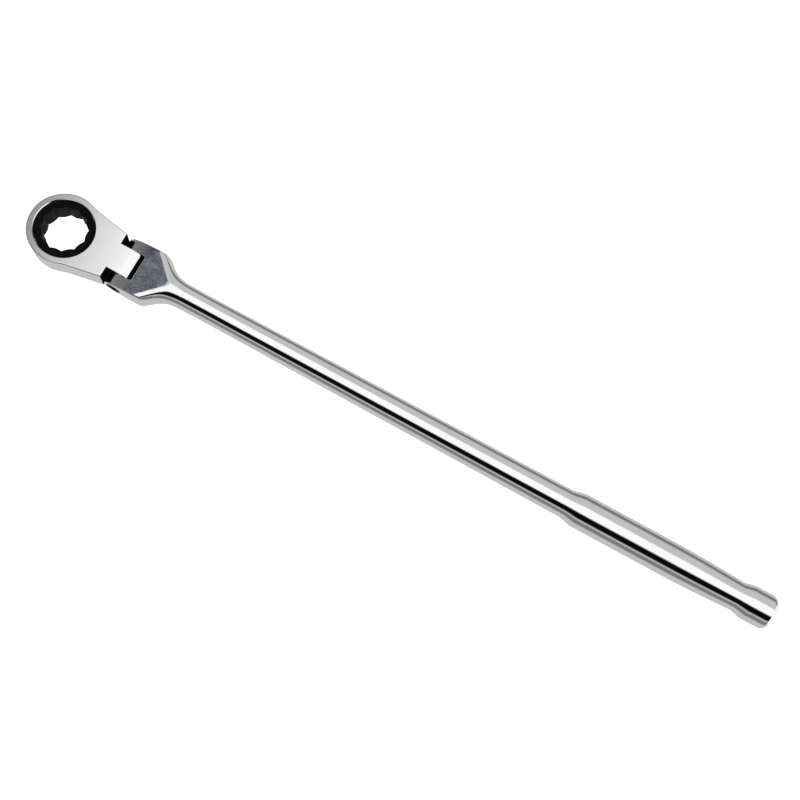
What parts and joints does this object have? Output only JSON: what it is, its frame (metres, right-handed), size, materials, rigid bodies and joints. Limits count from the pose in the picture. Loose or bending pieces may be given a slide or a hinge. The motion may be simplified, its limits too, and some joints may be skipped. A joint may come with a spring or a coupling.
{
  "type": "ratchet wrench",
  "caption": "Long chrome ratcheting box wrench: a twelve-point ring head on a flex pivot, a round shaft and a thicker grip with an end knob.",
  "frame": {"origin": "middle of the twelve-point socket, half-way through the ring head's thickness", "axes": "+X along the handle towards its end, +Y along the flex pivot, +Z along the socket's axis, out of the head's top face"},
  "size_m": [0.4272, 0.0374, 0.0188],
  "materials": {
    "polished_chrome": "mirror polished",
    "black_oxide": "satin black oxide on steel",
    "hardened_steel": "ground",
    "spring_wire": "drawn wire"
  },
  "bodies": {
    "handle": {"handle": "polished_chrome", "pivot_screw": "black_oxide", "flex_washer_left": "hardened_steel", "flex_washer_right": "hardened_steel", "flex_plunger": "hardened_steel", "flex_spring": "spring_wire"},
    "head": {"head": "polished_chrome", "thrust_washer": "hardened_steel", "pawl_spring": "spring_wire"},
    "gear": {"ratchet_gear": "black_oxide", "retaining_ring": "black_oxide"},
    "pawl": {"pawl": "hardened_steel", "pawl_plunger": "hardened_steel"}
  },
  "joints": [
    {"name": "head_flex", "type": "hinge", "parent": "handle", "child": "head", "pos_m": [0.0348, 0, 0], "axis": [0, 1, 0], "range_deg": [-90, 90]},
    {"name": "gear_spin", "type": "hinge", "parent": "head", "child": "gear", "pos_m": [0, 0, 0], "axis": [0, 0, 1], "continuous": true},
    {"name": "pawl_slide", "type": "slide", "parent": "head", "child": "pawl", "axis": [1, 0, 0], "range_m": [0, 0.0006], "stiffness_N_per_m": 900, "springref_m": -0.0015, "deforming": ["pawl_spring"]}
  ]
}
